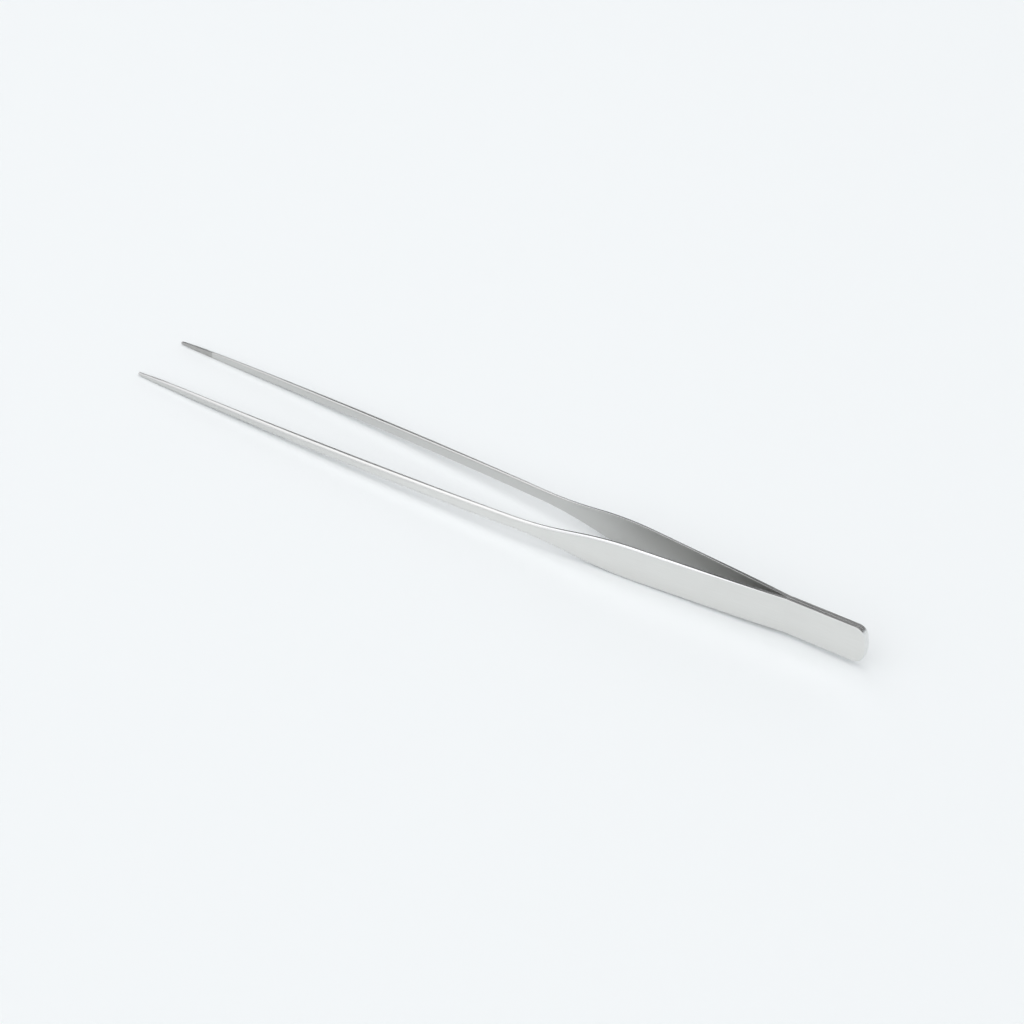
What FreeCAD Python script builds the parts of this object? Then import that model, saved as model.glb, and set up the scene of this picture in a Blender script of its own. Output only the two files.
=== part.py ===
"""Straight aquascaping tweezers, 27 cm: two stainless spring leaves welded together at the heel.

Each leaf is drawn in its own level frame: X runs from the heel (0) to the tips, Y is the
thickness direction with the joint face of the two leaves at Y = 0, and Z is the width of the
strip, centred on 0. The near leaf (+Y) is modelled and the far leaf is its mirror image. Every
piece is then placed the way the tweezers lie on a table: on the lower edges of the two grips
and on the two tips, with the heel a little raised.

A leaf bends along its grip. Here it is cut square across in the middle of that zone: the rear
piece stays with the heel and the front piece turns about the inner corner of the cut, so that
squeezing only opens the cut, by less than a tenth of a millimetre at the outer face.
"""
import FreeCAD, Part
import os
from math import atan2, cos, degrees, radians, sin, sqrt
import Sketcher

V = FreeCAD.Vector
doc = FreeCAD.newDocument("aquascaping_tweezers")

# ------------------------------------------------------------- driving dimensions, mm and degrees
DIMENSIONS = [
    ("overall_length", 270.0, "heel end to tips, along a leaf"),
    ("strip_width", 12.5, "width of the heel and of the finger grip"),
    ("heel_thickness", 1.2, "one leaf at the heel"),
    ("shank_thickness", 1.75, "one leaf at the shank station"),
    ("tip_thickness", 0.85, "one leaf at its tip"),
    ("joined_length", 25.0, "length over which the leaves lie together"),
    ("bend_radius", 20.0, "bend where the leaves part, on the joint face"),
    ("spread_angle", 6.5, "direction of a leaf just past that bend"),
    ("shank_angle", 1.8, "direction at the shank station; it is 0 at the tip"),
    ("shank_station", 145.0, "where the two bows of a leaf meet"),
    ("hinge_station", 48.0, "middle of the zone that flexes"),
    ("shoulder_station", 75.5, "end of the straight grip edges"),
    ("shoulder_radius", 119.0, "convex edge from the grip to the neck"),
    ("neck_angle", 9.55, "steepest slope of the neck's edges"),
    ("neck_radius", 119.0, "concave edge from the neck to the shank"),
    ("shank_width", 4.2, "width where the neck runs out"),
    ("taper_angle", 0.34, "slope of each edge of the shank"),
    ("closing_length", 25.0, "length over which the edges close to the point"),
    ("tip_width", 1.0, "width at the end of the point"),
    ("tip_rounding", 0.4, "corner radius of the point"),
    ("heel_end_radius", 18.0, "slightly domed end of the heel"),
    ("heel_corner_radius", 3.2, "rounded corners of the heel"),
    ("rim_radius", 0.35, "polished outer edges"),
    ("first_tooth", 0.9, "tip to the first groove of the jaw"),
    ("tooth_pitch", 0.7, "groove to groove"),
    ("tooth_depth", 0.22, "depth of a groove"),
    ("tooth_half_width", 0.26, "half the mouth of a groove"),
    ("tooth_count", 19, "grooves on each jaw"),
    ("weld_diameter", 5.0, "spot weld nugget at the joint face"),
    ("weld_depth", 0.45, "how far a nugget reaches into each leaf"),
    ("weld_face_diameter", 4.4, "nugget at that depth"),
    ("rear_weld", 8.0, "heel end to the rear nugget"),
    ("weld_spacing", 10.0, "rear nugget to the front one"),
    ("reach", 5.0, "how far the cutting shapes reach past the metal"),
]

# ----------------------------------------------------- sizes that follow from them, as formulas
DERIVED = [
    ("point_station", "overall_length - closing_length"),
    ("leave_x", "joined_length + bend_radius * sin(spread_angle)"),
    ("leave_y", "bend_radius * (1 - cos(spread_angle))"),
    ("grip_bow", "(shank_station - leave_x) / (sin(spread_angle) - sin(shank_angle))"),
    ("shank_y", "leave_y + grip_bow * (cos(shank_angle) - cos(spread_angle))"),
    ("shank_bow", "(overall_length - shank_station) / sin(shank_angle)"),
    ("tip_y", "shank_y + shank_bow * (1 - cos(shank_angle))"),
    ("hinge_angle", "asin(sin(spread_angle) - (hinge_station - leave_x) / grip_bow)"),
    ("hinge_y", "leave_y + grip_bow * (cos(hinge_angle) - cos(spread_angle))"),
    ("neck_fall", "(strip_width - shank_width) / 2 - shoulder_radius * (1 - cos(neck_angle))"
                  " - neck_radius * (cos(taper_angle) - cos(neck_angle))"),
    ("neck_top", "shoulder_station + shoulder_radius * sin(neck_angle)"),
    ("neck_low", "neck_top + neck_fall / tan(neck_angle)"),
    ("shank_start", "neck_low + neck_radius * (sin(neck_angle) - sin(taper_angle))"),
    ("point_half", "shank_width / 2 - (point_station - shank_start) * tan(taper_angle)"),
    ("point_length", "closing_length - tip_rounding"),
    ("point_fall", "point_half - tip_width / 2"),
    ("point_radius", "sqrt(point_length ^ 2 + point_fall ^ 2)"
                     " / (2 * sin(atan(point_fall / point_length) - taper_angle * 1 deg))"),
    # the table touches the lower edge on two arcs: the shoulder of the grip and the point
    ("arcs_x", "point_station - point_radius * sin(taper_angle) - shoulder_station"),
    ("arcs_z", "point_radius * cos(taper_angle) - point_half - shoulder_radius + strip_width / 2"),
    ("rest_pitch", "atan(arcs_z / arcs_x)"
                   " - asin((point_radius - shoulder_radius) / sqrt(arcs_x ^ 2 + arcs_z ^ 2))"),
    ("rest_height", "shoulder_station * sin(rest_pitch) + shoulder_radius"
                    " - (shoulder_radius - strip_width / 2) * cos(rest_pitch)"),
    ("rear_reach", "heel_end_radius * (cos(rest_pitch) - 1)"),
    ("front_reach", "(overall_length - tip_rounding) * cos(rest_pitch) + tip_rounding"
                    " + (tip_width / 2 - tip_rounding) * sin(rest_pitch)"),
    ("rest_shift", "-(rear_reach + front_reach) / 2"),
]

sheet = doc.addObject("Spreadsheet::Sheet", "Sizes")
for row, (name, number, meaning) in enumerate(DIMENSIONS, start=1):
    sheet.set("A%d" % row, meaning)
    sheet.set("B%d" % row, str(number))
    sheet.setAlias("B%d" % row, name)
for row, (name, formula) in enumerate(DERIVED, start=len(DIMENSIONS) + 1):
    sheet.set("B%d" % row, "=" + formula)
    sheet.setAlias("B%d" % row, name)
doc.recompute()


def size(name):
    """The present value of a cell of the sheet, as a plain number."""
    value = sheet.get(name)
    return float(getattr(value, "Value", value))


# --------------------------------------------------------------------------------------- sketches
START, END, CENTRE = 1, 2, 3
ORIGIN = (-1, 1)


def origin_plane(body, role):
    """One of the body's own origin planes or axes."""
    return next(feature for feature in body.Origin.OriginFeatures if feature.Role == role)


class Drawing:
    """A sketch on one of its body's origin planes, drawn near its shape and then constrained."""

    def __init__(self, body, name, plane):
        self.sketch = body.newObject("Sketcher::SketchObject", name)
        self.sketch.AttachmentSupport = (origin_plane(body, plane), "")
        self.sketch.MapMode = "FlatFace"

    def line(self, start, end):
        return self.sketch.addGeometry(Part.LineSegment(V(*start, 0), V(*end, 0)), False)

    def arc_about(self, centre, radius, first, last):
        """Anticlockwise between two directions in degrees."""
        circle = Part.Circle(V(*centre, 0), V(0, 0, 1), radius)
        return self.sketch.addGeometry(Part.ArcOfCircle(circle, radians(first), radians(last)), False)

    def arc(self, first, middle, last):
        """Anticlockwise from the first point to the last, through the middle one."""
        curve = Part.Arc(V(*first, 0), V(*middle, 0), V(*last, 0)).toShape().Curve
        centre = curve.Center
        start, end = [degrees(atan2(y - centre.y, x - centre.x)) for x, y in (first, last)]
        return self.arc_about((centre.x, centre.y), curve.Radius, start, end)

    def add(self, kind, *where):
        return self.sketch.addConstraint(Sketcher.Constraint(kind, *where))

    def join(self, *pairs):
        for one, other in pairs:
            self.add("Coincident", *one, *other)

    def smooth(self, *pairs):
        for one, other in pairs:
            self.add("Tangent", *one, *other)

    def bind(self, kind, expression, *where):
        """A dimension that starts at its present value and then follows the sheet."""
        if kind == "Radius":
            present = self.sketch.Geometry[where[0]].Radius
        else:
            gap = self.sketch.getPoint(*where[2:]) - self.sketch.getPoint(*where[:2])
            present = gap.x if kind == "DistanceX" else gap.y
        number = self.add(kind, *where, present)
        self.sketch.setExpression("Constraints[%d]" % number, expression)

    def across(self, one, other, expression):
        self.bind("DistanceX", expression, *one, *other)

    def up(self, one, other, expression):
        self.bind("DistanceY", expression, *one, *other)

    def radius(self, arc, expression):
        self.bind("Radius", expression, arc)

    def level(self, *lines):
        for line in lines:
            self.add("Horizontal", line)

    def upright(self, *lines):
        for line in lines:
            self.add("Vertical", line)

    def box(self, left, right, half_height):
        """A rectangle about the X axis, as wide as two bound places along it."""
        corners = [(left, -half_height), (right, -half_height), (right, half_height),
                   (left, half_height)]
        sides = [self.line(corners[i], corners[(i + 1) % 4]) for i in range(4)]
        self.join(*[((sides[i], END), (sides[(i + 1) % 4], START)) for i in range(4)])
        self.level(sides[0], sides[2])
        self.upright(sides[3])
        self.add("Symmetric", sides[1], START, sides[1], END, -1)
        return sides


# ------------------------------------------------------------------------------------- one leaf
def plan_outline(body):
    """The leaf seen from above: its joint face, bend and two bows, and the tapering outside."""
    draw = Drawing(body, "Plan", "XY_Plane")
    joined, bend = size("joined_length"), size("bend_radius")
    thick, spread = size("heel_thickness"), size("spread_angle")
    leave = (size("leave_x"), size("leave_y"))
    shank = (size("shank_station"), size("shank_y"))
    tip = (size("overall_length"), size("tip_y"))
    shank_out = (shank[0], shank[1] + size("shank_thickness"))
    tip_out = (tip[0], tip[1] + size("tip_thickness"))

    def bowed(first, last, rise):
        middle = ((first[0] + last[0]) / 2, (first[1] + last[1]) / 2 + rise)
        return draw.arc(first, middle, last)

    inner_rise = (shank[0] - leave[0]) ** 2 / (8 * size("grip_bow"))
    outer_rise = (tip[0] - shank[0]) ** 2 / (8 * size("shank_bow"))
    joint = draw.line((0, 0), (joined, 0))
    inner_bend = draw.arc_about((joined, bend), bend, -90, spread - 90)
    inner_grip = bowed(shank, leave, inner_rise)
    inner_shank = bowed(tip, shank, outer_rise)
    tip_end = draw.line(tip, tip_out)
    outer_shank = bowed(tip_out, shank_out, outer_rise)
    outer_bend = draw.arc_about((joined, bend), bend - thick, -90, spread - 90)
    outer_grip = bowed(shank_out, (leave[0], leave[1] + thick), inner_rise)
    outside = draw.line((joined, thick), (0, thick))
    heel_end = draw.line((0, thick), (0, 0))

    draw.join(((joint, START), ORIGIN), ((heel_end, END), (joint, START)),
              ((outside, END), (heel_end, START)), ((inner_shank, START), (tip_end, START)),
              ((tip_end, END), (outer_shank, START)), ((inner_bend, CENTRE), (outer_bend, CENTRE)))
    draw.smooth(((joint, END), (inner_bend, START)), ((inner_bend, END), (inner_grip, END)),
                ((inner_grip, START), (inner_shank, END)), ((outer_shank, END), (outer_grip, START)),
                ((outer_grip, END), (outer_bend, END)), ((outer_bend, START), (outside, START)))
    draw.level(joint, outside)
    draw.upright(heel_end, tip_end)
    draw.across(ORIGIN, (joint, END), "Sizes.joined_length")
    draw.radius(inner_bend, "Sizes.bend_radius")
    draw.up((heel_end, END), (heel_end, START), "Sizes.heel_thickness")
    draw.across(ORIGIN, (inner_bend, END), "Sizes.leave_x")
    draw.across((outer_bend, START), (outer_bend, END),
                "(Sizes.bend_radius - Sizes.heel_thickness) * sin(Sizes.spread_angle)")
    draw.across(ORIGIN, (inner_grip, START), "Sizes.shank_station")
    draw.radius(inner_grip, "Sizes.grip_bow")
    draw.across(ORIGIN, (inner_shank, START), "Sizes.overall_length")
    draw.across(ORIGIN, (inner_shank, CENTRE), "Sizes.overall_length")
    draw.up((tip_end, START), (tip_end, END), "Sizes.tip_thickness")
    draw.add("Vertical", inner_grip, START, outer_grip, START)
    draw.up((inner_grip, START), (outer_grip, START), "Sizes.shank_thickness")
    return draw.sketch


def side_waste(body):
    """What is cut from above the middle of the strip: past the heel, the neck and the point."""
    draw = Drawing(body, "SideWaste", "XZ_Plane")
    length, half = size("overall_length"), size("strip_width") / 2
    dome, corner = size("heel_end_radius"), size("heel_corner_radius")
    shoulder, slope = size("shoulder_station"), size("neck_angle")
    taper = size("taper_angle")
    convex, concave = size("shoulder_radius"), size("neck_radius")
    top_height = half - convex * (1 - cos(radians(slope)))
    neck_top = (size("neck_top"), top_height)
    neck_low = (size("neck_low"), top_height - size("neck_fall"))
    shank = (size("shank_start"), size("shank_width") / 2)
    shank_centre = (shank[0] + concave * sin(radians(taper)), shank[1] + concave * cos(radians(taper)))
    point = (size("point_station"), size("point_half"))
    closing_radius = size("point_radius")
    rounding, tip_half = size("tip_rounding"), size("tip_width") / 2
    tip = (length - rounding, tip_half)
    corner_x = dome - sqrt((dome - corner) ** 2 - (half - corner) ** 2)
    reach = size("reach")

    touch = degrees(atan2(half - corner, corner_x - dome))
    heel_dome = draw.arc_about((dome, 0), dome, touch, 180)
    heel_corner = draw.arc_about((corner_x, half - corner), corner, 90, touch)
    grip = draw.line((corner_x, half), (shoulder, half))
    shoulder_arc = draw.arc_about((shoulder, half - convex), convex, 90 - slope, 90)
    neck = draw.line(neck_top, neck_low)
    neck_arc = draw.arc_about(shank_centre, concave, -90 - slope, -90 - taper)
    edge = draw.line(shank, point)
    bulge = size("point_length") ** 2 / (8 * closing_radius)
    closing = draw.arc(tip, ((tip[0] + point[0]) / 2, (tip[1] + point[1]) / 2 + bulge), point)
    tip_corner = draw.arc_about((length - rounding, tip_half - rounding), rounding, 0, 90)
    tip_end = draw.line((length, tip_half - rounding), (length, 0))
    waste = [(length, 0), (length + reach, 0), (length + reach, half + reach),
             (-reach, half + reach), (-reach, 0), (0, 0)]
    frame = [draw.line(waste[i], waste[i + 1]) for i in range(5)]

    draw.smooth(((heel_dome, START), (heel_corner, END)), ((heel_corner, START), (grip, START)),
                ((grip, END), (shoulder_arc, END)), ((shoulder_arc, START), (neck, START)),
                ((neck, END), (neck_arc, START)), ((neck_arc, END), (edge, START)),
                ((edge, END), (closing, END)))
    draw.join(((heel_dome, END), ORIGIN), ((closing, START), (tip_corner, END)),
              ((tip_corner, START), (tip_end, START)), ((tip_end, END), (frame[0], START)),
              ((frame[4], END), ORIGIN),
              *[((frame[i], END), (frame[i + 1], START)) for i in range(4)])
    draw.add("PointOnObject", heel_dome, CENTRE, -1)
    draw.level(grip, frame[0], frame[2], frame[4])
    draw.upright(tip_end, frame[1], frame[3])
    draw.radius(heel_dome, "Sizes.heel_end_radius")
    draw.radius(heel_corner, "Sizes.heel_corner_radius")
    draw.up(ORIGIN, (grip, END), "Sizes.strip_width / 2")
    draw.across(ORIGIN, (grip, END), "Sizes.shoulder_station")
    draw.radius(shoulder_arc, "Sizes.shoulder_radius")
    draw.across((shoulder_arc, END), (shoulder_arc, START),
                "Sizes.shoulder_radius * sin(Sizes.neck_angle)")
    draw.radius(neck_arc, "Sizes.neck_radius")
    draw.up(ORIGIN, (edge, START), "Sizes.shank_width / 2")
    draw.across((neck_arc, END), (neck_arc, CENTRE), "Sizes.neck_radius * sin(Sizes.taper_angle)")
    draw.across(ORIGIN, (edge, END), "Sizes.point_station")
    draw.across(ORIGIN, (closing, START), "Sizes.overall_length - Sizes.tip_rounding")
    draw.up(ORIGIN, (closing, START), "Sizes.tip_width / 2")
    draw.radius(tip_corner, "Sizes.tip_rounding")
    draw.add("Horizontal", tip_corner, START, tip_corner, CENTRE)
    draw.add("Vertical", tip_corner, END, tip_corner, CENTRE)
    draw.add("PointOnObject", tip_end, END, -1)
    draw.across(ORIGIN, (frame[1], START), "Sizes.overall_length + Sizes.reach")
    draw.up(ORIGIN, (frame[2], START), "Sizes.strip_width / 2 + Sizes.reach")
    draw.across((frame[3], START), ORIGIN, "Sizes.reach")
    return draw.sketch


def outer_rim(shape):
    """The edges between a leaf's outer side, which faces +Y, and its narrow edge faces."""
    def facing(face):
        u0, u1, v0, v1 = face.ParameterRange
        return face.normalAt((u0 + u1) / 2, (v0 + v1) / 2).y

    named = []
    for number, edge in enumerate(shape.Edges, start=1):
        beside = [face for face in shape.Faces if any(edge.isSame(e) for e in face.Edges)]
        narrow, outer = sorted((facing(face) for face in beside), key=abs)
        if abs(narrow) < 0.3 and outer > 0.9:
            named.append("Edge%d" % number)
    return named


def cut(body, name, sketch, midplane=True):
    """Cut a drawing right through the body and make sure that it took some metal away."""
    before = body.Shape.Volume
    pocket = body.newObject("PartDesign::Pocket", name)
    pocket.Profile = sketch
    pocket.Type = "ThroughAll"
    pocket.Midplane = midplane
    doc.recompute()
    if not body.Shape.Volume < before:
        raise ValueError(name + " cuts nothing")
    return pocket


def whole_leaf(label):
    """One complete leaf, heel to tip, with its edges rounded and its inner face still smooth."""
    body = doc.addObject("PartDesign::Body", label)
    body.Label = label
    pad = body.newObject("PartDesign::Pad", "Strip")
    pad.Profile = plan_outline(body)
    pad.Midplane = True
    pad.setExpression("Length", "Sizes.strip_width")
    doc.recompute()
    waste = cut(body, "EdgesAbove", side_waste(body))
    below = body.newObject("PartDesign::Mirrored", "EdgesBelow")
    below.Originals = [waste]
    below.MirrorPlane = (origin_plane(body, "XY_Plane"), [""])
    body.Tip = below
    doc.recompute()
    base = body.Tip
    fillet = body.newObject("PartDesign::Fillet", "OuterRim")
    fillet.Base = (base, outer_rim(base.Shape))
    fillet.setExpression("Radius", "Sizes.rim_radius")
    doc.recompute()
    return body


def part_at_hinge(body, behind):
    """Keep what is behind the hinge station, or what is ahead of it."""
    draw = Drawing(body, "Division", "XY_Plane")
    hinge, length, reach = size("hinge_station"), size("overall_length"), size("reach")
    left, right = (-reach, hinge) if not behind else (hinge, length + reach)
    bottom, right_side, top, left_side = draw.box(left, right, length / 4)
    at_hinge, far_off = (left_side, right_side) if behind else (right_side, left_side)
    draw.across(ORIGIN, (at_hinge, START), "Sizes.hinge_station")
    if behind:
        draw.across(ORIGIN, (far_off, START), "Sizes.overall_length + Sizes.reach")
    else:
        draw.across((far_off, START), ORIGIN, "Sizes.reach")
    draw.up(ORIGIN, (right_side, END), "Sizes.overall_length / 4")
    return cut(body, "HingeCut", draw.sketch)


def cut_teeth(body):
    """Fine V grooves straight across the inner face of the jaw, from the tip backwards."""
    draw = Drawing(body, "Tooth", "XY_Plane")
    middle = size("overall_length") - size("first_tooth")
    half, depth = 2 * size("tooth_half_width"), size("tooth_depth")
    mouth = size("tip_y") - depth
    base = draw.line((middle - half, mouth), (middle + half, mouth))
    front = draw.line((middle + half, mouth), (middle, mouth + 2 * depth))
    back = draw.line((middle, mouth + 2 * depth), (middle - half, mouth))
    draw.join(((base, END), (front, START)), ((front, END), (back, START)),
              ((back, END), (base, START)))
    draw.level(base)
    draw.across(ORIGIN, (front, END), "Sizes.overall_length - Sizes.first_tooth")
    draw.up(ORIGIN, (base, START), "Sizes.tip_y - Sizes.tooth_depth")
    draw.up((base, END), (front, END), "2 * Sizes.tooth_depth")
    draw.across((base, START), (front, END), "2 * Sizes.tooth_half_width")
    draw.across((base, START), (base, END), "4 * Sizes.tooth_half_width")
    tooth = cut(body, "Groove", draw.sketch)
    teeth = body.newObject("PartDesign::LinearPattern", "Teeth")
    teeth.Originals = [tooth]
    teeth.Direction = (origin_plane(body, "X_Axis"), [""])
    teeth.Reversed = True
    teeth.setExpression("Length", "Sizes.tooth_pitch * (Sizes.tooth_count - 1)")
    teeth.setExpression("Occurrences", "Sizes.tooth_count")
    body.Tip = teeth


# ------------------------------------------------------------------------------------ the welds
def weld_section(body, name, both_leaves, number=0):
    """Half a nugget's section beside its axis, in one leaf or right through both."""
    draw = Drawing(body, name, "XY_Plane")
    station = size("rear_weld") + number * size("weld_spacing")
    wide, face, depth = size("weld_diameter") / 2, size("weld_face_diameter") / 2, size("weld_depth")
    corners = [(station + wide, 0), (station + face, depth), (station, depth)]
    if both_leaves:
        corners = [(station, -depth), (station + face, -depth)] + corners
    else:
        corners = [(station, 0)] + corners
    count = len(corners)
    sides = [draw.line(corners[i], corners[(i + 1) % count]) for i in range(count)]
    draw.join(*[((sides[i], END), (sides[(i + 1) % count], START)) for i in range(count)])
    flank, top, axis = sides[-3:]
    draw.level(sides[0], top)
    draw.upright(axis)
    draw.add("PointOnObject", flank, START, -1)
    draw.across(ORIGIN, (axis, END), "Sizes.rear_weld + %d * Sizes.weld_spacing" % number)
    draw.up(ORIGIN, (top, START), "Sizes.weld_depth")
    draw.across((axis, END), (flank, START), "Sizes.weld_diameter / 2")
    draw.across((axis, START), (top, START), "Sizes.weld_face_diameter / 2")
    if both_leaves:
        draw.add("Symmetric", sides[0], END, top, START, -1)
    return draw.sketch, (draw.sketch, ["Edge%d" % (axis + 1)])


def cut_weld_seats(body):
    """The volume that each nugget takes up in this leaf."""
    seat = body.newObject("PartDesign::Groove", "WeldSeat")
    seat.Profile, seat.ReferenceAxis = weld_section(body, "SeatSection", both_leaves=False)
    seat.Angle = 360
    before = body.Shape.Volume
    doc.recompute()
    if not seat.Shape.Volume < before:
        raise ValueError("WeldSeat cuts nothing")
    seats = body.newObject("PartDesign::LinearPattern", "WeldSeats")
    seats.Originals = [seat]
    seats.Direction = (origin_plane(body, "X_Axis"), [""])
    seats.Occurrences = 2
    seats.setExpression("Length", "Sizes.weld_spacing")
    body.Tip = seats


def nugget(label, number):
    body = doc.addObject("PartDesign::Body", label)
    body.Label = label
    turned = body.newObject("PartDesign::Revolution", "Nugget")
    turned.Profile, turned.ReferenceAxis = weld_section(body, "Section", True, number)
    turned.Angle = 360
    doc.recompute()
    return body


# ----------------------------------------------------------------------------------- the pieces
REST = ("placement(vector(Sizes.rest_shift; 0; Sizes.rest_height);"
        " rotation(vector(0; 1; 0); Sizes.rest_pitch))")


def lay_down(piece):
    """From the level leaf frame to the way the tweezers lie."""
    piece.setExpression("Placement", REST)


def far_twin(near_piece, label):
    """The far leaf's piece is the near one mirrored in the joint face."""
    twin = doc.addObject("Part::Mirroring", label)
    twin.Label = label
    twin.Source = near_piece
    twin.Normal = V(0, 1, 0)
    return twin


near_heel = whole_leaf("near_heel")
cut_weld_seats(near_heel)
part_at_hinge(near_heel, behind=True)

near_arm = whole_leaf("near_arm")
cut_teeth(near_arm)
part_at_hinge(near_arm, behind=False)

rear_nugget = nugget("weld_nugget_rear", 0)
front_nugget = nugget("weld_nugget_front", 1)

for piece in (near_heel, near_arm, rear_nugget, front_nugget):
    lay_down(piece)
far_heel = far_twin(near_heel, "far_heel")
far_arm = far_twin(near_arm, "far_arm")
doc.recompute()

# ---------------------------------------------------------------------------- check, then write
pieces = [near_heel, far_heel, near_arm, far_arm, rear_nugget, front_nugget]
failed = [item.Name for item in doc.Objects if {"Invalid", "Error"} & set(item.State)]
if failed:
    raise RuntimeError("not computed: " + ", ".join(failed))
for piece in pieces:
    if piece.Shape.isNull() or not piece.Shape.isValid() or len(piece.Shape.Solids) != 1:
        raise RuntimeError(piece.Label + " is not one valid solid")

os.makedirs("parts", exist_ok=True)
for piece in pieces:
    piece.Shape.exportStep(os.path.join("parts", piece.Label + ".step"))
    box = piece.Shape.optimalBoundingBox()
    print("%-18s %8.2f mm3  x %8.3f %8.3f  y %7.3f %7.3f  z %7.3f %7.3f" % (
        piece.Label, piece.Shape.Volume, box.XMin, box.XMax, box.YMin, box.YMax, box.ZMin, box.ZMax))

hinge = near_heel.Placement.multVec(V(size("hinge_station"), size("hinge_y"), 0))
closing = FreeCAD.Rotation(near_heel.Placement.Rotation).multVec(V(0, 0, -1))
print("hinge of the near leg", tuple(hinge), "closing axis", tuple(closing))
print("rest pitch", size("rest_pitch"), "tip inner face", size("tip_y"))
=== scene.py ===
"""Looks for straight aquascaping tweezers, 27 cm: two satin stainless leaves welded at the heel.

Each leaf is modelled once in its own level frame: X runs from the heel to the tips, Y is the
thickness direction with the joint face at Y = 0, and Z is the width of the strip. It is then
mirrored for the far leg and laid down as the solids lie: on the lower edges of the grips and
on the tips. A leaf is one continuous piece that bends between the heel and its leg.
"""
from math import asin, atan, atan2, cos, hypot, pi, radians, sin, sqrt, tan
import bmesh
import bpy
from bpy.props import (FloatProperty, FloatVectorProperty, IntProperty, PointerProperty,
                       StringProperty)
from mathutils import Matrix, Vector


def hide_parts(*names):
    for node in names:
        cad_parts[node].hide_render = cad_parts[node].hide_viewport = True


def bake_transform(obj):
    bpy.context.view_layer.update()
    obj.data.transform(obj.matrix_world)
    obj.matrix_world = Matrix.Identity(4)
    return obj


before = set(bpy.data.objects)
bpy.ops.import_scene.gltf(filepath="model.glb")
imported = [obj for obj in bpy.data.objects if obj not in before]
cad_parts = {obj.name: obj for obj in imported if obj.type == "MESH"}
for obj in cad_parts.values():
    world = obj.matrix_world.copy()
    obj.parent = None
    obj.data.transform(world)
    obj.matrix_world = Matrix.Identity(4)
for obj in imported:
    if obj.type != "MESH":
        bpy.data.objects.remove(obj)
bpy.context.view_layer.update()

bl_info = {
    "name": "Aquascaping Tweezers",
    "version": (1, 0, 0),
    "blender": (4, 5, 0),
    "location": "3D View > Sidebar > Tweezers",
    "description": "Satin stainless tweezers for aquatic plants, built around their solids",
    "category": "Add Mesh",
}

MM = 0.001

# how finely a leaf is divided
DOME_SHARES = (0.08, 0.17, 0.25)  # half widths of the first lines on the domed end, in strips
CORNER_STEPS = 8
TIP_STEPS = 6
HEEL_STEP = 2.0 * MM
BEND_STEP = 0.5 * MM
LEG_STEP = 1.6 * MM
RIM_SEGMENTS = 6
CREASE = radians(35)  # edges that turn by more than this stay sharp
SAME = 1e-7  # two places that are closer than this are one

# how far the rims reach
OUTER_REACH = 0.66  # most that the outer rim takes of the thickness
INNER_REACH = 0.28  # most that the inner rim takes of it
TEETH_RUN_OUT = 8.0 * MM  # length over which the inner rim fades before the teeth

# what the finish reads for each face, worked out from the outward share of its normal
FACE_SHARES = ("rim_share", "inner_share", "jaw_share")
INNER_BELOW = -0.6
FLAT_ABOVE = 0.99
RIM_TURN = 0.25  # the polish fades in over this much of a turn away from the flat
HEEL_POLISH = 0.5  # polish of the rims at the heel, against 1 on the grip
SHANK_POLISH = 0.4  # the same on the shank

WAVES = (70.0, 140.0, 140.0)  # waves a metre of the ground flats, along and across the leaf
TABLE_SIDES = 96
SWEEP_STEPS = 8


# ------------------------------------------------------------------------------- the settings
def length(name, description, default):
    """A size in metres, given here in millimetres."""
    return FloatProperty(name=name, description=description, default=default * MM,
                         min=0.0, unit="LENGTH", precision=5)


def angle(name, description, default):
    """An angle in radians, given here in degrees."""
    return FloatProperty(name=name, description=description, default=radians(default),
                         subtype="ANGLE", precision=3)


def share(name, description, default):
    """A number from 0 to 1."""
    return FloatProperty(name=name, description=description, default=default,
                         min=0.0, max=1.0, subtype="FACTOR")


def hex_colour(name, description, default):
    """A colour, written as sRGB hex."""
    return StringProperty(name=name, description=description + ", as sRGB hex", default=default)


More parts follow.
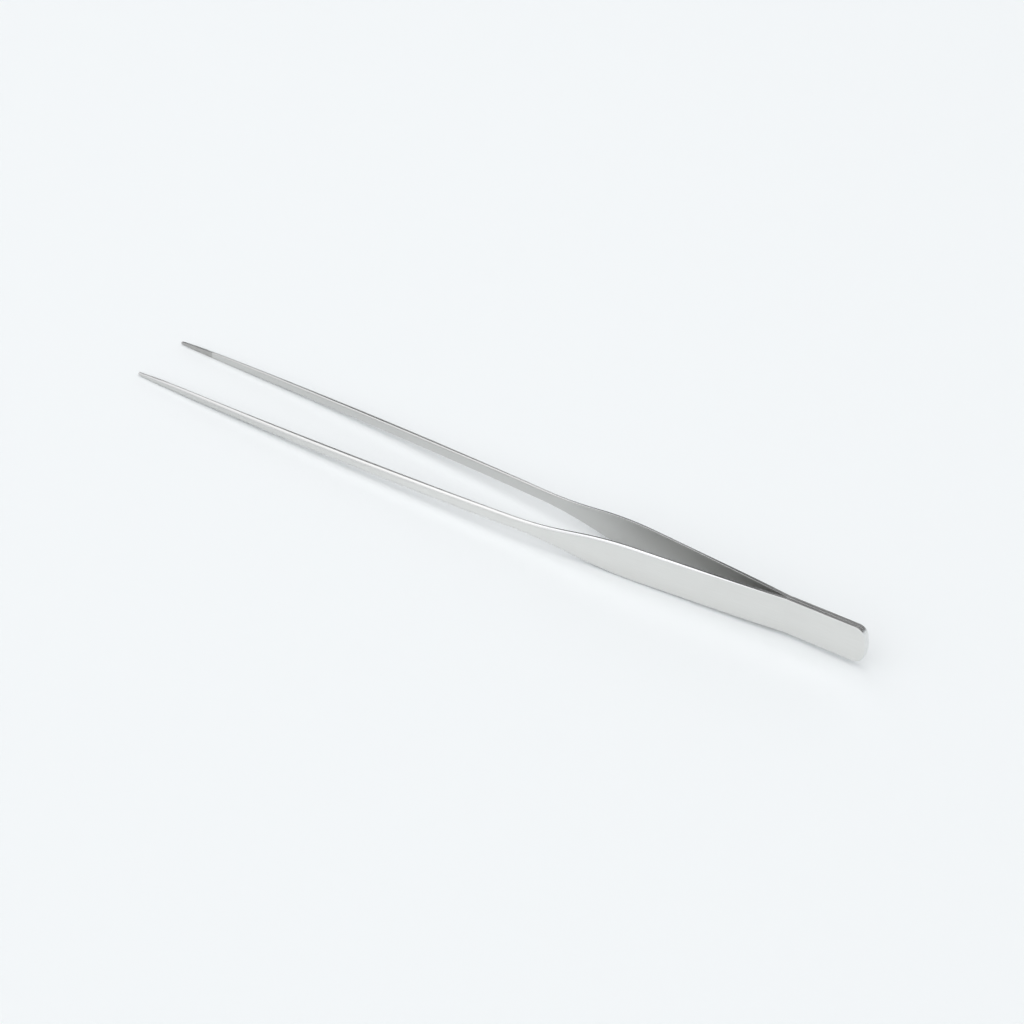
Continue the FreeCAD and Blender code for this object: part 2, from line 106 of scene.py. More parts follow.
class LeafSizes(bpy.types.PropertyGroup):
    """The form of one leaf."""
    overall: length("Length", "Heel end to tips along a leaf", 270.0)
    strip: length("Strip width", "Width of the heel and the grip", 12.5)
    heel_thick: length("Heel thickness", "One leaf at the heel", 1.2)
    shank_thick: length("Shank thickness", "One leaf at the shank station", 1.75)
    tip_thick: length("Tip thickness", "One leaf at its tip", 0.85)
    joined: length("Joined length", "Length over which the leaves lie together", 25.0)
    bend: length("Bend radius", "Bend where the leaves part", 20.0)
    spread: angle("Spread", "Direction of a leaf just past the bend", 6.5)
    shank_turn: angle("Shank direction", "Direction at the shank station", 1.8)
    shank_at: length("Shank station", "Where the two bows of a leaf meet", 145.0)
    shoulder_at: length("Shoulder station", "End of the straight grip edges", 75.5)
    shoulder: length("Shoulder radius", "Convex edge from the grip to the neck", 119.0)
    neck_slope: angle("Neck slope", "Steepest slope of the neck's edges", 9.55)
    neck: length("Neck radius", "Concave edge from the neck to the shank", 119.0)
    shank: length("Shank width", "Width where the neck runs out", 4.2)
    taper: angle("Shank taper", "Slope of each edge of the shank", 0.34)
    closing: length("Point length", "Length over which the edges close", 25.0)
    tip: length("Tip width", "Width at the end of the point", 1.0)
    tip_corner: length("Tip rounding", "Corner radius of the point", 0.4)
    heel_dome: length("Heel dome", "Radius of the slightly domed heel end", 18.0)
    heel_corner: length("Heel corners", "Radius of the heel's corners", 3.2)
    heel_rim: length("Heel rim", "Rounding of the heel's outer edges", 0.16)
    grip_rim: length("Grip rim", "Rounding of the grip's outer edges", 0.95)
    shank_rim: length("Shank rim", "Rounding of the shank's outer edges", 1.0)
    tip_rim: length("Tip rim", "Rounding of the tip's outer edges", 0.36)
    weld_rim: length("Welded rim", "Rounding of the inner edges where they are ground flush", 0.03)
    inner_rim: length("Inner rim", "The same edges past the weld", 0.14)
    shank_inner_rim: length("Inner shank rim", "The same edges on the ground shank", 0.45)


class JawSizes(bpy.types.PropertyGroup):
    """The grooves on the inner face of each jaw."""
    first: length("First groove", "Tip to the first groove", 0.9)
    pitch: length("Pitch", "Groove to groove", 0.7)
    depth: length("Depth", "Depth of a groove", 0.22)
    mouth: length("Mouth", "Half the mouth of a groove", 0.26)
    count: IntProperty(name="Count", description="Grooves on each jaw", default=19, min=1)


class FlexSettings(bpy.types.PropertyGroup):
    """The zone of a leaf where it would flex; its ends are worked out, but nothing is bent with them.
    """
    station: length("Middle", "Middle of the zone, from the heel end", 48.0)
    half: length("Half length", "Half the length of the zone", 20.0)


class SteelFinish(bpy.types.PropertyGroup):
    """Brushed and polished stainless steel."""
    face: hex_colour("Satin colour", "Ground and brushed outer faces", "#E9E9E7")
    cloud: hex_colour("Cloud colour", "The same faces on the crests of their waves", "#E2E1DF")
    streak: hex_colour("Streak colour", "The ridges between their brush lines", "#DEDEDB")
    shank: hex_colour("Shank colour", "The same faces near the tip", "#D2D2D0")
    # the inner faces are drawn darker than the outer ones: partly their matt finish, partly painted
    # shade of the gap where the legs face each other
    inner: hex_colour("Inner colour", "Matt inner faces", "#CFCFCD")
    # the teeth are drawn darker still: the milled metal plus painted shade of their grooves
    jaw: hex_colour("Jaw colour", "Milled teeth", "#BBBAB8")
    rim: hex_colour("Rim colour", "Polished edges", "#E6E7E8")
    weld: hex_colour("Weld colour", "Fused weld metal", "#B4ADA4")
    weld_tint: hex_colour("Weld tint", "Straw heat tint on it", "#96866F")
    satin_least: share("Satin roughness, least", "Smoothest of the brush lines", 0.28)
    satin_most: share("Satin roughness, most", "Roughest of the brush lines", 0.41)
    inner_rough: share("Inner roughness", "Roughness of the matt inner faces", 0.42)
    rim_rough: share("Rim roughness", "Roughness of the polished edges", 0.2)
    weld_rough: share("Weld roughness", "Roughness of the fused metal", 0.45)
    grain: length("Grain spacing", "Brush lines, drawn coarser than a real 0.03 mm", 0.22)
    grain_run: length("Grain length", "Length of a brush line", 9.0)
    relief: length("Relief", "Height of the brush lines and waves", 0.02)
    relief_share: share("Relief strength", "Share of that height that the light shows", 0.12)
    greyer_from: length("Greyer from", "Station where the leaf begins to look greyer", 150.0)
    greyer_to: length("Greyer to", "Station from which it is as grey as the tip", 240.0)
    ripple: length("Ripple", "Ripple to ripple on the weld metal", 0.8)
    ripple_relief: length("Ripple relief", "Height of its ripples", 0.05)
    ripple_share: share("Ripple strength", "Share of that height that the light shows", 0.4)


class StageSettings(bpy.types.PropertyGroup):
    """Floor, light and viewpoint."""
    floor: hex_colour("Floor colour", "Pale matt table", "#F3F6F7")
    azimuth: angle("Azimuth", "Direction of the camera round the object", 215.054)
    elevation: angle("Elevation", "Height of the camera above the table", 38.643)
    distance: length("Distance", "Camera to its target", 781.3)
    lens: FloatProperty(name="Lens", description="Focal length", default=87.89,
                        subtype="DISTANCE_CAMERA")
    target: FloatVectorProperty(name="Target", description="Point that the camera looks at",
                                default=(-9.725 * MM, -0.667 * MM, 0.0), subtype="XYZ", unit="LENGTH",
                                precision=5)
    softbox: FloatProperty(name="Softbox", description="Power of the softbox overhead",
                           default=2.9, min=0.0, unit="POWER")
    softbox_size: FloatVectorProperty(name="Softbox size", description="Its two sides", size=2,
                                      default=(2.0, 1.4), unit="LENGTH")
    softbox_at: FloatVectorProperty(name="Softbox place", description="Where its middle hangs",
                                    default=(0.15, 0.1, 1.1), subtype="XYZ", unit="LENGTH")
    tent: FloatProperty(name="Tent", description="Brightness of the white tent all round",
                        default=1.04, min=0.0)
    daylight: hex_colour("Daylight", "Colour of the tent's light", "#FEFEFF")
    slot: FloatProperty(name="Slot", description="Brightness of the room seen through the slot",
                        default=0.05, min=0.0)
    slot_at: FloatProperty(name="Slot place", description="Y of the direction of the slot's middle",
                           default=-0.64, min=-1.0, max=1.0)
    slot_edges: FloatVectorProperty(name="Slot edges", size=2, default=(0.08, 0.22),
                                    description="From its middle to where it fades and ends")
    table: FloatProperty(name="Table", description="Radius of the flat table top", default=2.6,
                         unit="LENGTH")
    sweep: FloatProperty(name="Sweep", description="Radius in which it turns up", default=0.5,
                         unit="LENGTH")
    wall: FloatProperty(name="Backdrop", description="Height of the backdrop above the sweep",
                        default=0.4, unit="LENGTH")


# ------------------------------------------------------------------------------ form of a leaf
class Bow:
    """An arc of the plan that leaves a point in a direction, curves down and meets a target."""

    def __init__(self, start, direction, target):
        dx, dy = target[0] - start[0], target[1] - start[1]
        self.radius = (dx * dx + dy * dy) / (2 * (dx * sin(direction) - dy * cos(direction)))
        self.x = start[0] + self.radius * sin(direction)
        self.y = start[1] - self.radius * cos(direction)

    def height(self, x):
        return self.y + sqrt(self.radius ** 2 - (x - self.x) ** 2)

    def direction(self, x):
        return asin((self.x - x) / self.radius)


class LeafForm:
    """The surfaces of a leaf as functions of the station x along it."""

    def __init__(self, s):
        self.s = s
        self.strip_half = s.strip / 2
        self.inner_bows = self.bows(0.0, 0.0, 0.0)
        self.outer_bows = self.bows(s.heel_thick, s.shank_thick, s.tip_thick)
        fall = self.strip_half - s.shoulder * (1 - cos(s.neck_slope))
        self.neck_top = (s.shoulder_at + s.shoulder * sin(s.neck_slope), fall)
        drop = fall - s.shank / 2 - s.neck * (cos(s.taper) - cos(s.neck_slope))
        self.neck_low = self.neck_top[0] + drop / tan(s.neck_slope)
        self.shank_from = self.neck_low + s.neck * (sin(s.neck_slope) - sin(s.taper))
        self.point_at = s.overall - s.closing
        self.point_half = s.shank / 2 - (self.point_at - self.shank_from) * tan(s.taper)
        run, drop = s.closing - s.tip_corner, self.point_half - s.tip / 2
        self.point_radius = hypot(run, drop) / (2 * sin(atan(drop / run) - s.taper))
        self.corner_x = s.heel_dome - sqrt((s.heel_dome - s.heel_corner) ** 2
                                           - (self.strip_half - s.heel_corner) ** 2)
        self.dome_end = (s.heel_dome + (self.corner_x - s.heel_dome) * s.heel_dome
                         / (s.heel_dome - s.heel_corner))
        self.largest_rim = max(s.heel_rim, s.grip_rim, s.shank_rim, s.tip_rim,
                               s.weld_rim, s.inner_rim, s.shank_inner_rim)
        # the first and the last cross line stay, and those on the corners beside them go
        end = s.heel_dome - sqrt(s.heel_dome ** 2 - (DOME_SHARES[0] * s.strip) ** 2)
        self.rounded_ends = (end + SAME, s.overall - SAME)

    def bows(self, heel, shank, tip):
        """The bend and the two bows of one side, that far from the inner face."""
        s = self.s
        radius = s.bend - heel
        leave = (s.joined + radius * sin(s.spread), s.bend - radius * cos(s.spread))
        inner_leave = (s.joined + s.bend * sin(s.spread), s.bend * (1 - cos(s.spread)))
        grip = (s.shank_at - inner_leave[0]) / (sin(s.spread) - sin(s.shank_turn))
        middle = inner_leave[1] + grip * (cos(s.shank_turn) - cos(s.spread))
        far = (s.overall - s.shank_at) / sin(s.shank_turn)
        end = middle + far * (1 - cos(s.shank_turn))
        first = Bow(leave, s.spread, (s.shank_at, middle + shank))
        second = Bow((s.shank_at, middle + shank), first.direction(s.shank_at),
                     (s.overall, end + tip))
        return radius, heel, leave[0], first, second

    def height(self, x, bows):
        s = self.s
        radius, heel, leave, first, second = bows
        if x <= s.joined:
            return heel
        if x <= leave:
            return s.bend - sqrt(radius ** 2 - (x - s.joined) ** 2)
        return (first if x <= s.shank_at else second).height(x)

    def inner(self, x):
        return self.height(x, self.inner_bows)

    def outer(self, x):
        return self.height(x, self.outer_bows)

    def thickness(self, x):
        return self.outer(x) - self.inner(x)

    def half_width(self, x):
        s = self.s
        if x < self.corner_x:
            return self.heel_half(x)
        if x <= s.shoulder_at:
            return self.strip_half
        if x <= self.neck_top[0]:
            return self.strip_half - s.shoulder + sqrt(s.shoulder ** 2 - (x - s.shoulder_at) ** 2)
        if x <= self.neck_low:
            return self.neck_top[1] - (x - self.neck_top[0]) * tan(s.neck_slope)
        if x <= self.shank_from:
            across = self.shank_from + s.neck * sin(s.taper) - x
            return s.shank / 2 + s.neck * cos(s.taper) - sqrt(s.neck ** 2 - across ** 2)
        if x <= self.point_at:
            return s.shank / 2 - (x - self.shank_from) * tan(s.taper)
        if x <= s.overall - s.tip_corner:
            across = x - self.point_at + self.point_radius * sin(s.taper)
            return (self.point_half - self.point_radius * cos(s.taper)
                    + sqrt(self.point_radius ** 2 - across ** 2))
        across = x - s.overall + s.tip_corner
        return s.tip / 2 - s.tip_corner + sqrt(max(s.tip_corner ** 2 - across ** 2, 0.0))

    def heel_half(self, x):
        """Half the width of the domed end or of the corner beside it."""
        s = self.s
        if x < self.dome_end:
            return sqrt(s.heel_dome ** 2 - (x - s.heel_dome) ** 2)
        return (self.strip_half - s.heel_corner
                + sqrt(s.heel_corner ** 2 - (x - self.corner_x) ** 2))

    def past_weld(self, x):
        """0 where the leaves lie together, rising to 1 over as much again."""
        return smooth_step((x - self.s.joined) / self.s.joined)

    def past_neck(self, x):
        """0 up to the neck, rising to 1 where it has run out into the shank."""
        return smooth_step((x - self.neck_top[0]) / (self.shank_from - self.neck_top[0]))

    def rim(self, x):
        """Rounding of the outer edge: slight at the heel, fuller on the ground shank."""
        s = self.s
        to_grip = smooth_step((x - s.joined) / (s.shoulder_at - s.joined))
        to_shank = smooth_step((x - s.shoulder_at) / (self.shank_from - s.shoulder_at))
        # the change ends three tip corners before the tip, so that the corners round evenly
        to_tip = smooth_step((x - self.point_at) / (s.closing - 3 * s.tip_corner))
        radius = s.heel_rim + (s.grip_rim - s.heel_rim) * to_grip
        radius += (s.shank_rim - s.grip_rim) * to_shank
        radius += (s.tip_rim - radius) * to_tip
        return min(radius, OUTER_REACH * self.thickness(x))

    def inner_rim(self, x, jaw):
        """Rounding of the inner edge: none where the leaves are welded, none at the teeth."""
        s = self.s
        to_teeth = smooth_step((x - self.toothed(jaw)) / TEETH_RUN_OUT + 1)
        radius = s.inner_rim + (s.shank_inner_rim - s.inner_rim) * self.past_neck(x)
        radius = s.weld_rim + (radius - s.weld_rim) * self.past_weld(x) * (1 - to_teeth)
        return min(radius, INNER_REACH * self.thickness(x))

    def toothed(self, jaw):
        """Where the grooves of the jaw begin."""
        return self.s.overall - jaw.first - jaw.pitch * (jaw.count - 1) - jaw.mouth

    def rest(self):
        """From the level frame to the way the tweezers lie, as the solids do."""
        s = self.s
        across = self.point_at - self.point_radius * sin(s.taper) - s.shoulder_at
        up = self.point_radius * cos(s.taper) - self.point_half - s.shoulder + self.strip_half
        pitch = atan2(up, across) - asin((self.point_radius - s.shoulder) / hypot(across, up))
        raised = (s.shoulder_at * sin(pitch) + s.shoulder
                  - (s.shoulder - self.strip_half) * cos(pitch))
        rear = s.heel_dome * (cos(pitch) - 1)
        front = ((s.overall - s.tip_corner) * cos(pitch) + s.tip_corner
                 + (s.tip / 2 - s.tip_corner) * sin(pitch))
        place = Matrix.Translation((-(rear + front) / 2, 0.0, raised))
        return place @ Matrix.Rotation(pitch, 4, "Y")


def smooth_step(t):
    t = min(max(t, 0.0), 1.0)
    return t * t * (3 - 2 * t)


def spaced(first, last, step):
    """Evenly spaced stations from the first to just before the last."""
    count = max(1, round((last - first) / step))
    return [first + (last - first) * i / count for i in range(count)]


def stations(form, jaw):
    """Where the leaf has a cross line: close together on corners, bends and teeth."""
    s = form.s
    dome = s.heel_dome
    start = [dome - sqrt(dome ** 2 - (part * s.strip) ** 2) for part in DOME_SHARES]
    across = form.dome_end - form.corner_x
    first = atan2(across, sqrt(s.heel_corner ** 2 - across ** 2))
    turns = [first * (1 - i / CORNER_STEPS) for i in range(CORNER_STEPS)]
    corner = [form.corner_x + s.heel_corner * sin(turn) for turn in turns]
    bent = s.joined + s.bend * sin(s.spread)
    run = spaced(form.corner_x, s.joined, HEEL_STEP)
    run += spaced(s.joined, bent, BEND_STEP)
    run += spaced(bent, form.toothed(jaw), LEG_STEP)
    teeth = []
    for number in reversed(range(jaw.count)):
        middle = s.overall - jaw.first - jaw.pitch * number
        teeth += [middle - jaw.mouth, middle, middle + jaw.mouth]
    tip = [s.overall - s.tip_corner * (1 - sin(pi / 2 * i / TIP_STEPS))
           for i in range(TIP_STEPS + 1)]
    return start + corner + run + teeth + tip


def groove_depth(x, form, jaw):
    """How far the inner face is cut back at a station: full depth at the middle of a groove."""
    place = (form.s.overall - jaw.first - x) / jaw.pitch
    number = round(place)
    if not 0 <= number < jaw.count:
        return 0.0
    return jaw.depth * max(0.0, 1 - abs(place - number) * jaw.pitch / jaw.mouth)


# ---------------------------------------------------------------------------- mesh of a leaf
def leaf_shell(form, jaw):
    """A strip of cross lines, given its outline and bows, and thickened to the outer face."""
    xs = stations(form, jaw)
    bm = bmesh.new()
    bmesh.ops.create_grid(bm, x_segments=len(xs) - 1, y_segments=1, size=1.0)
    inner = sorted(bm.verts, key=lambda v: (round(v.co.x, 6), v.co.y))
    if len(inner) != 2 * len(xs):
        raise RuntimeError("the strip has %d vertices for %d stations" % (len(inner), len(xs)))
    for number, vertex in enumerate(inner):
        x = xs[number // 2]
        side = 1 if number % 2 else -1
        vertex.co = (x, form.inner(x) + groove_depth(x, form, jaw), side * form.half_width(x))
    grown = bmesh.ops.extrude_face_region(bm, geom=bm.faces[:], use_keep_orig=True)
    outer = {item for item in grown["geom"] if isinstance(item, bmesh.types.BMVert)}
    for vertex in outer:
        vertex.co.y = form.outer(vertex.co.x)
    bmesh.ops.recalc_face_normals(bm, faces=bm.faces)
    across = [edge for edge in bm.edges if crosses_an_end(edge, form)]
    bmesh.ops.dissolve_edges(bm, edges=across, use_verts=False)
    weigh_rims(bm, outer, form, jaw)
    return bm


def crosses_an_end(edge, form):
    """A cross line beside a rounded corner, where the roundings of the rims need one flat face."""
    one, other = (vertex.co for vertex in edge.verts)
    if abs(one.x - other.x) > SAME or abs(one.y - other.y) > SAME or one.z * other.z > 0:
        return False
    first, last = form.rounded_ends
    heel = first < one.x < form.corner_x + SAME
    tip = form.s.overall - form.s.tip_corner - SAME < one.x < last
    return heel or tip


def weigh_rims(bm, outer, form, jaw):
    """Bevel weights: the rounding of each edge of the outline as a share of the largest one."""
    weight = bm.edges.layers.float.new("bevel_weight_edge")
    for edge in bm.edges:
        # an edge of the outline has a broad face on one side and a narrow one on the other
        beside = [abs(face.normal.y) for face in edge.link_faces]
        if len(beside) != 2 or max(beside) < 0.5 or min(beside) > 0.5:
            continue
        x = (edge.verts[0].co.x + edge.verts[1].co.x) / 2
        if edge.verts[0] in outer:
            edge[weight] = form.rim(x) / form.largest_rim
        elif x < form.toothed(jaw):
            edge[weight] = form.inner_rim(x, jaw) / form.largest_rim


def new_piece(name, mesh):
    piece = bpy.data.objects.new(name, mesh)
    bpy.context.scene.collection.objects.link(piece)
    return piece


def evaluated_mesh(piece):
    """A plain mesh of the piece as its modifiers leave it."""
    bpy.context.view_layer.update()
    evaluated = piece.evaluated_get(bpy.context.evaluated_depsgraph_get())
    return bpy.data.meshes.new_from_object(evaluated)


def finish_mesh(bm, name, largest_rim, mirrored):
    """Rounds the weighted edges, mirrors the far leaf and returns a plain mesh."""
    mesh = bpy.data.meshes.new(name + "_rough")
    bm.to_mesh(mesh)
    bm.free()
    rough = new_piece(name + "_rough", mesh)
    bevel = rough.modifiers.new("Rims", "BEVEL")
    bevel.width = largest_rim
    bevel.limit_method = "WEIGHT"
    bevel.segments = RIM_SEGMENTS
    bevel.profile = 0.5
    bevel.use_clamp_overlap = False
    shaped = evaluated_mesh(rough)
    bpy.data.objects.remove(rough)
    bm = bmesh.new()
    bm.from_mesh(shaped)
    bpy.data.meshes.remove(shaped)
    if mirrored:
        bmesh.ops.scale(bm, vec=(1, -1, 1), verts=bm.verts)
    bmesh.ops.recalc_face_normals(bm, faces=bm.faces)
    final = bpy.data.meshes.new(name)
    bm.to_mesh(final)
    bm.free()
    return final


def mark_surface(mesh, form, jaw, side):
    """Attributes for the finish: place in the straightened leaf, and which surface a face is on."""
    mesh.attributes.new("leaf_place", "FLOAT_VECTOR", "POINT")
    for name in FACE_SHARES:
        mesh.attributes.new(name, "FLOAT", "FACE")
    # adding an attribute can move the others, so they are looked up when all are there
    places = mesh.attributes["leaf_place"].data
    for number, vertex in enumerate(mesh.vertices):
        x, y, z = vertex.co
        places[number].vector = (x, form.outer(x) - side * y, z)
    rims, inners, jaws = [mesh.attributes[name].data for name in FACE_SHARES]
    for number, face in enumerate(mesh.polygons):
        outward = side * face.normal.y
        inner = outward < INNER_BELOW
        x = face.center.x
        polished = HEEL_POLISH + (1 - HEEL_POLISH) * form.past_weld(x)
        polished *= 1 - (1 - SHANK_POLISH) * form.past_neck(x)
        turned = smooth_step((FLAT_ABOVE - outward) / RIM_TURN)
        rims[number].value = 0.0 if inner else polished * turned
        # inner faces get the matt finish and the darker inner colour, which also paints the shade of
        # the gap; past the teeth's start they take the jaw colour
        inners[number].value = float(inner)
        jaws[number].value = float(inner and x > form.toothed(jaw))


def shade(piece):
    """Smooth across the roundings, sharp at the teeth, with flats that stay flat."""
    piece.data.shade_smooth()
    piece.data.set_sharp_from_angle(angle=CREASE)
    weighted = piece.modifiers.new("Even normals", "WEIGHTED_NORMAL")
    weighted.keep_sharp = True
    evened = evaluated_mesh(piece)
    evened.name = piece.data.name
    piece.modifiers.clear()
    piece.data = evened


# --------------------------------------------------------------------------------- the finishes
def linear(hex_code):
    """An sRGB hex colour as linear RGBA."""
    parts = [int(hex_code[i:i + 2], 16) / 255 for i in (1, 3, 5)]
    return tuple(c / 12.92 if c <= 0.04045 else ((c + 0.055) / 1.055) ** 2.4 for c in parts) + (1.0,)


def add_node(tree, kind, inputs=None, **settings):
    """Adds a node, sets it up and fills its inputs with values or links."""
    node = tree.nodes.new(kind)
    for key, value in settings.items():
        setattr(node, key, value)
    for key, value in (inputs or {}).items():
        if isinstance(value, bpy.types.NodeSocket):
            tree.links.new(value, node.inputs[key])
        else:
            node.inputs[key].default_value = value
    return node


def new_material(name):
    material = bpy.data.materials.new(name)
    material.use_nodes = True
    material.node_tree.nodes.clear()
    return material, material.node_tree


def brushed_stainless(finish):
    """18/8 stainless, belt-ground and brushed along the leaf: soft grey flats with faint lines
    that stretch highlights across them, and rims polished by hand, which show sharper lights."""
    material, tree = new_material("brushed_stainless_steel")
    place = add_node(tree, "ShaderNodeAttribute", attribute_name="leaf_place")
    rim = add_node(tree, "ShaderNodeAttribute", attribute_name="rim_share")
    inner = add_node(tree, "ShaderNodeAttribute", attribute_name="inner_share")
    jaw = add_node(tree, "ShaderNodeAttribute", attribute_name="jaw_share")
    lines = add_node(tree, "ShaderNodeMapping", {
        "Vector": place.outputs["Vector"],
        "Scale": (1 / finish.grain_run, 1 / finish.grain, 1 / finish.grain)})
    grain = add_node(tree, "ShaderNodeTexNoise", {
        "Vector": lines.outputs["Vector"], "Scale": 1.0, "Detail": 3.0, "Roughness": 0.6})
    # hand grinding leaves the flats very slightly wavy over a centimetre or two
    wave_place = add_node(tree, "ShaderNodeMapping", {
        "Vector": place.outputs["Vector"], "Scale": WAVES})
    wave = add_node(tree, "ShaderNodeTexNoise", {
        "Vector": wave_place.outputs["Vector"], "Scale": 1.0, "Detail": 1.0})
    cloud = add_node(tree, "ShaderNodeMix", {
        "Factor": wave.outputs["Fac"], "A": linear(finish.face), "B": linear(finish.cloud)},
        data_type="RGBA")
    streaked = add_node(tree, "ShaderNodeMix", {
        "Factor": grain.outputs["Fac"], "A": cloud.outputs["Result"], "B": linear(finish.streak)},
        data_type="RGBA")
    # the outer faces are drawn a little greyer from the shank towards the tip
    along = add_node(tree, "ShaderNodeSeparateXYZ", {"Vector": place.outputs["Vector"]})
    greyer = add_node(tree, "ShaderNodeMapRange", {
        "Value": along.outputs["X"],
        "From Min": finish.greyer_from, "From Max": finish.greyer_to})
    outside = add_node(tree, "ShaderNodeMix", {
        "Factor": greyer.outputs["Result"], "A": streaked.outputs["Result"],
        "B": linear(finish.shank)}, data_type="RGBA")
    # inner faces take the inner colour: matt metal plus painted shade of the gap between the legs
    inside = add_node(tree, "ShaderNodeMix", {
        "Factor": inner.outputs["Fac"], "A": outside.outputs["Result"], "B": linear(finish.inner)},
        data_type="RGBA")
    # the toothed patch takes the jaw colour: milled metal plus painted shade of the grooves
    toothed = add_node(tree, "ShaderNodeMix", {
        "Factor": jaw.outputs["Fac"], "A": inside.outputs["Result"], "B": linear(finish.jaw)},
        data_type="RGBA")
    colour = add_node(tree, "ShaderNodeMix", {
        "Factor": rim.outputs["Fac"], "A": toothed.outputs["Result"], "B": linear(finish.rim)},
        data_type="RGBA")
    # nearly all of the grain's noise lies between 0.3 and 0.7
    satin = add_node(tree, "ShaderNodeMapRange", {
        "Value": grain.outputs["Fac"], "From Min": 0.3, "From Max": 0.7,
        "To Min": finish.satin_least, "To Max": finish.satin_most})
    matt = add_node(tree, "ShaderNodeMix", {
        "Factor": inner.outputs["Fac"], "A": satin.outputs["Result"], "B": finish.inner_rough})
    rough = add_node(tree, "ShaderNodeMix", {
        "Factor": rim.outputs["Fac"], "A": matt.outputs["Result"], "B": finish.rim_rough})
    relief = add_node(tree, "ShaderNodeMath", {
        0: grain.outputs["Fac"], 1: wave.outputs["Fac"]}, operation="ADD")
    bump = add_node(tree, "ShaderNodeBump", {
        "Height": relief.outputs["Value"],
        "Strength": finish.relief_share, "Distance": finish.relief})
    shader = add_node(tree, "ShaderNodeBsdfPrincipled", {
        "Base Color": colour.outputs["Result"], "Metallic": 1.0,
        "Roughness": rough.outputs["Result"], "Normal": bump.outputs["Normal"]})
    add_node(tree, "ShaderNodeOutputMaterial", {"Surface": shader.outputs["BSDF"]})
    return material


def weld_metal(finish):
    """Resistance-welded stainless: a cast, slightly rippled nugget with a straw heat tint."""
    material, tree = new_material("spot_weld_metal")
    place = add_node(tree, "ShaderNodeTexCoord")
    ripple = add_node(tree, "ShaderNodeTexNoise", {
        "Vector": place.outputs["Object"], "Scale": 1 / finish.ripple, "Detail": 4.0})
    colour = add_node(tree, "ShaderNodeMix", {
        "Factor": ripple.outputs["Fac"], "A": linear(finish.weld), "B": linear(finish.weld_tint)},
        data_type="RGBA")
    bump = add_node(tree, "ShaderNodeBump", {
        "Height": ripple.outputs["Fac"],
        "Strength": finish.ripple_share, "Distance": finish.ripple_relief})
    shader = add_node(tree, "ShaderNodeBsdfPrincipled", {
        "Base Color": colour.outputs["Result"], "Metallic": 1.0,
        "Roughness": finish.weld_rough, "Normal": bump.outputs["Normal"]})
    add_node(tree, "ShaderNodeOutputMaterial", {"Surface": shader.outputs["BSDF"]})
    return material


def pale_table(stage):
    """Matt white table top."""
    material, tree = new_material("pale_table")
    shader = add_node(tree, "ShaderNodeBsdfPrincipled", {
        "Base Color": linear(stage.floor), "Roughness": 0.9, "Specular IOR Level": 0.0})
    add_node(tree, "ShaderNodeOutputMaterial", {"Surface": shader.outputs["BSDF"]})
    return material


# -------------------------------------------------------------------------------- the operators
class TWEEZERS_OT_leaves(bpy.types.Operator):
    """Build the near and the far leaf, each in one piece from the heel to its tip"""
    bl_idname = "tweezers.leaves"
    bl_label = "Leaves"

    def execute(self, context):
        scene = context.scene
        form, jaw, flex = LeafForm(scene.leaf_sizes), scene.jaw_sizes, scene.flex_settings
        steel = brushed_stainless(scene.steel_finish)
        lay_down = form.rest()
        for name, side in (("near", 1), ("far", -1)):
            mesh = finish_mesh(leaf_shell(form, jaw), name + "_leaf", form.largest_rim, side < 0)
            mark_surface(mesh, form, jaw, side)
            mesh.transform(lay_down)
            mesh.materials.append(steel)
            leaf = new_piece(name + "_leaf", mesh)
            shade(leaf)
            for x in (flex.station - flex.half, flex.station + flex.half):
                lay_down @ Vector((x, side * form.inner(x), 0.0))
            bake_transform(leaf)
            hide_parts(name + "_heel", name + "_arm")
        return {"FINISHED"}


class TWEEZERS_OT_welds(bpy.types.Operator):
    """Give the two weld nuggets inside the heel their metal"""
    bl_idname = "tweezers.welds"
    bl_label = "Spot welds"

    def execute(self, context):
        metal = weld_metal(context.scene.steel_finish)
        for name in ("weld_nugget_rear", "weld_nugget_front"):
            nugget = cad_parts[name]
            nugget.data.materials.clear()
            nugget.data.materials.append(metal)
        return {"FINISHED"}


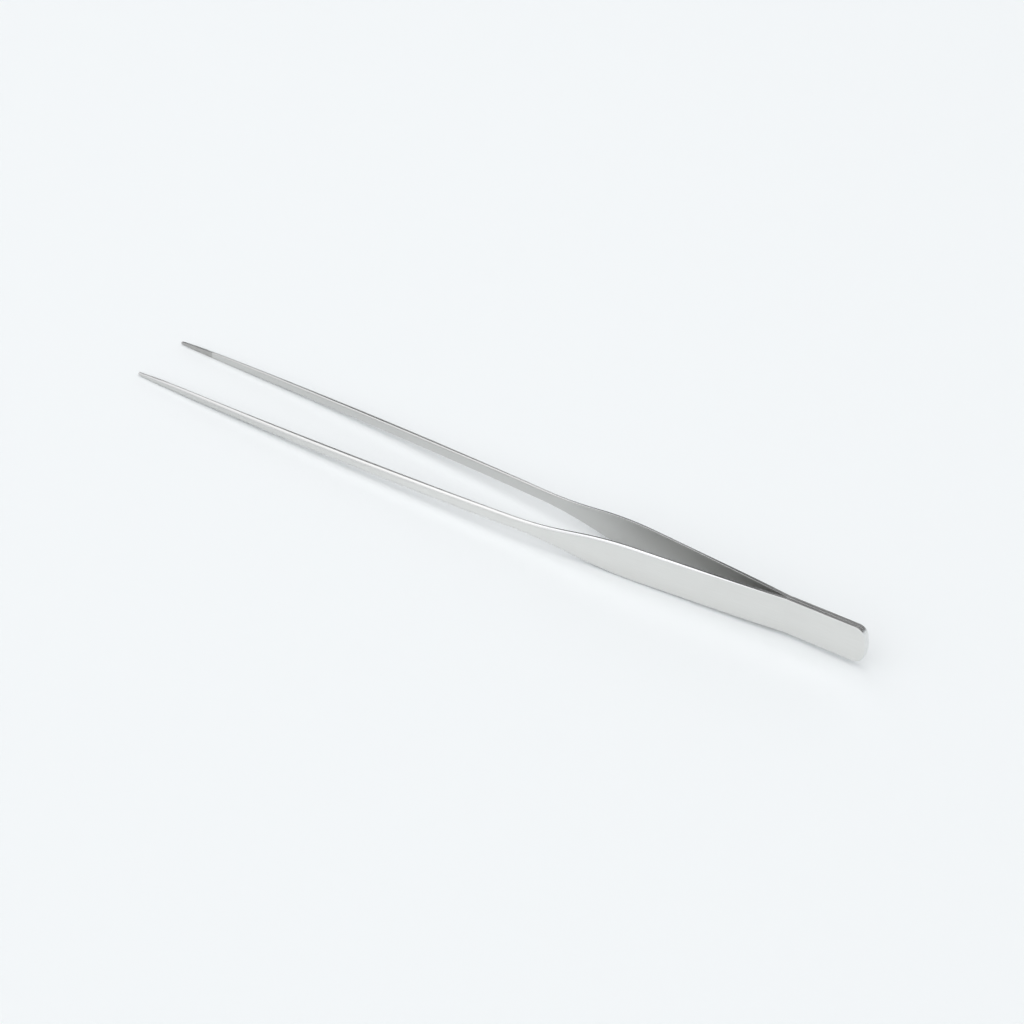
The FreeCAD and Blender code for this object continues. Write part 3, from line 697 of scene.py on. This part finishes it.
class TWEEZERS_OT_stage(bpy.types.Operator):
    """Lay the table, hang the softbox, light the surround and set up the camera"""
    bl_idname = "tweezers.stage"
    bl_label = "Stage"

    def execute(self, context):
        stage = context.scene.stage_settings
        self.table(stage)
        self.softbox(context.scene, stage)
        self.surround(context.scene, stage)
        self.camera(context.scene, stage)
        context.scene.view_settings.view_transform = "Standard"
        return {"FINISHED"}

    def table(self, stage):
        """A round table top that sweeps up into a low pale backdrop."""
        bm = bmesh.new()
        bmesh.ops.create_circle(bm, cap_ends=True, segments=TABLE_SIDES, radius=stage.table)
        turns = [pi / 2 * i / SWEEP_STEPS for i in range(1, SWEEP_STEPS + 1)]
        profile = [(stage.table + stage.sweep * sin(turn), stage.sweep * (1 - cos(turn)))
                   for turn in turns]
        profile.append((stage.table + stage.sweep, stage.sweep + stage.wall))
        radius, height = stage.table, 0.0
        for next_radius, next_height in profile:
            rim = [edge for edge in bm.edges if edge.is_boundary]
            grown = bmesh.ops.extrude_edge_only(bm, edges=rim)
            ring = [item for item in grown["geom"] if isinstance(item, bmesh.types.BMVert)]
            growth = next_radius / radius
            bmesh.ops.scale(bm, vec=(growth, growth, 1.0), verts=ring)
            bmesh.ops.translate(bm, vec=(0.0, 0.0, next_height - height), verts=ring)
            radius, height = next_radius, next_height
        bmesh.ops.recalc_face_normals(bm, faces=bm.faces)
        if sum(face.normal.z for face in bm.faces) < 0:
            bmesh.ops.reverse_faces(bm, faces=bm.faces)
        mesh = bpy.data.meshes.new("table")
        bm.to_mesh(mesh)
        bm.free()
        mesh.materials.append(pale_table(stage))
        new_piece("table", mesh)

    def softbox(self, scene, stage):
        light = bpy.data.lights.new("softbox", "AREA")
        light.shape = "RECTANGLE"
        light.size, light.size_y = stage.softbox_size
        light.energy = stage.softbox
        lamp = bpy.data.objects.new("softbox", light)
        scene.collection.objects.link(lamp)
        lamp.location = stage.softbox_at
        lamp.rotation_euler = (-lamp.location).to_track_quat("-Z", "Y").to_euler()

    def surround(self, scene, stage):
        """A white tent with a dark slot round its far side, which the rims mirror as dark lines."""
        world = bpy.data.worlds.new("studio")
        world.use_nodes = True
        tree = world.node_tree
        tree.nodes.clear()
        way = add_node(tree, "ShaderNodeTexCoord")
        facing = add_node(tree, "ShaderNodeSeparateXYZ", {"Vector": way.outputs["Generated"]})
        past_slot = add_node(tree, "ShaderNodeMath", {
            0: facing.outputs["Y"], 1: stage.slot_at}, operation="SUBTRACT")
        off_slot = add_node(tree, "ShaderNodeMath", {
            0: past_slot.outputs["Value"]}, operation="ABSOLUTE")
        level = add_node(tree, "ShaderNodeMapRange", {
            "Value": off_slot.outputs["Value"],
            "From Min": stage.slot_edges[0], "From Max": stage.slot_edges[1],
            "To Min": stage.slot, "To Max": stage.tent}, interpolation_type="SMOOTHSTEP")
        light = add_node(tree, "ShaderNodeBackground", {
            "Color": linear(stage.daylight), "Strength": level.outputs["Result"]})
        add_node(tree, "ShaderNodeOutputWorld", {"Surface": light.outputs["Background"]})
        scene.world = world

    def camera(self, scene, stage):
        data = bpy.data.cameras.new("camera")
        data.lens = stage.lens
        data.clip_start, data.clip_end = 0.01, 20.0
        camera = bpy.data.objects.new("camera", data)
        scene.collection.objects.link(camera)
        level = cos(stage.elevation)
        back = Vector((sin(stage.azimuth) * level, -cos(stage.azimuth) * level, sin(stage.elevation)))
        camera.location = Vector(stage.target) + back * stage.distance
        camera.rotation_euler = (-back).to_track_quat("-Z", "Y").to_euler()
        scene.camera = camera


class TWEEZERS_PT_panel(bpy.types.Panel):
    """The settings, and one button for each group of pieces"""
    bl_idname = "TWEEZERS_PT_panel"
    bl_label = "Aquascaping Tweezers"
    bl_space_type = "VIEW_3D"
    bl_region_type = "UI"
    bl_category = "Tweezers"

    def draw(self, context):
        for operator in OPERATORS:
            self.layout.operator(operator.bl_idname)
        for name, group in GROUPS.items():
            box = self.layout.box()
            box.label(text=group.__doc__)
            settings = getattr(context.scene, name)
            for key in group.__annotations__:
                box.prop(settings, key)


GROUPS = {
    "leaf_sizes": LeafSizes,
    "jaw_sizes": JawSizes,
    "flex_settings": FlexSettings,
    "steel_finish": SteelFinish,
    "stage_settings": StageSettings,
}
OPERATORS = (TWEEZERS_OT_leaves, TWEEZERS_OT_welds, TWEEZERS_OT_stage)
CLASSES = (*GROUPS.values(), *OPERATORS, TWEEZERS_PT_panel)


def register():
    for item in CLASSES:
        bpy.utils.register_class(item)
    for name, group in GROUPS.items():
        setattr(bpy.types.Scene, name, PointerProperty(type=group))


def unregister():
    for name in GROUPS:
        delattr(bpy.types.Scene, name)
    for item in reversed(CLASSES):
        bpy.utils.unregister_class(item)


def main():
    register()
    bpy.ops.tweezers.leaves()
    bpy.ops.tweezers.welds()
    bpy.ops.tweezers.stage()


if __name__ == "__main__":
    main()
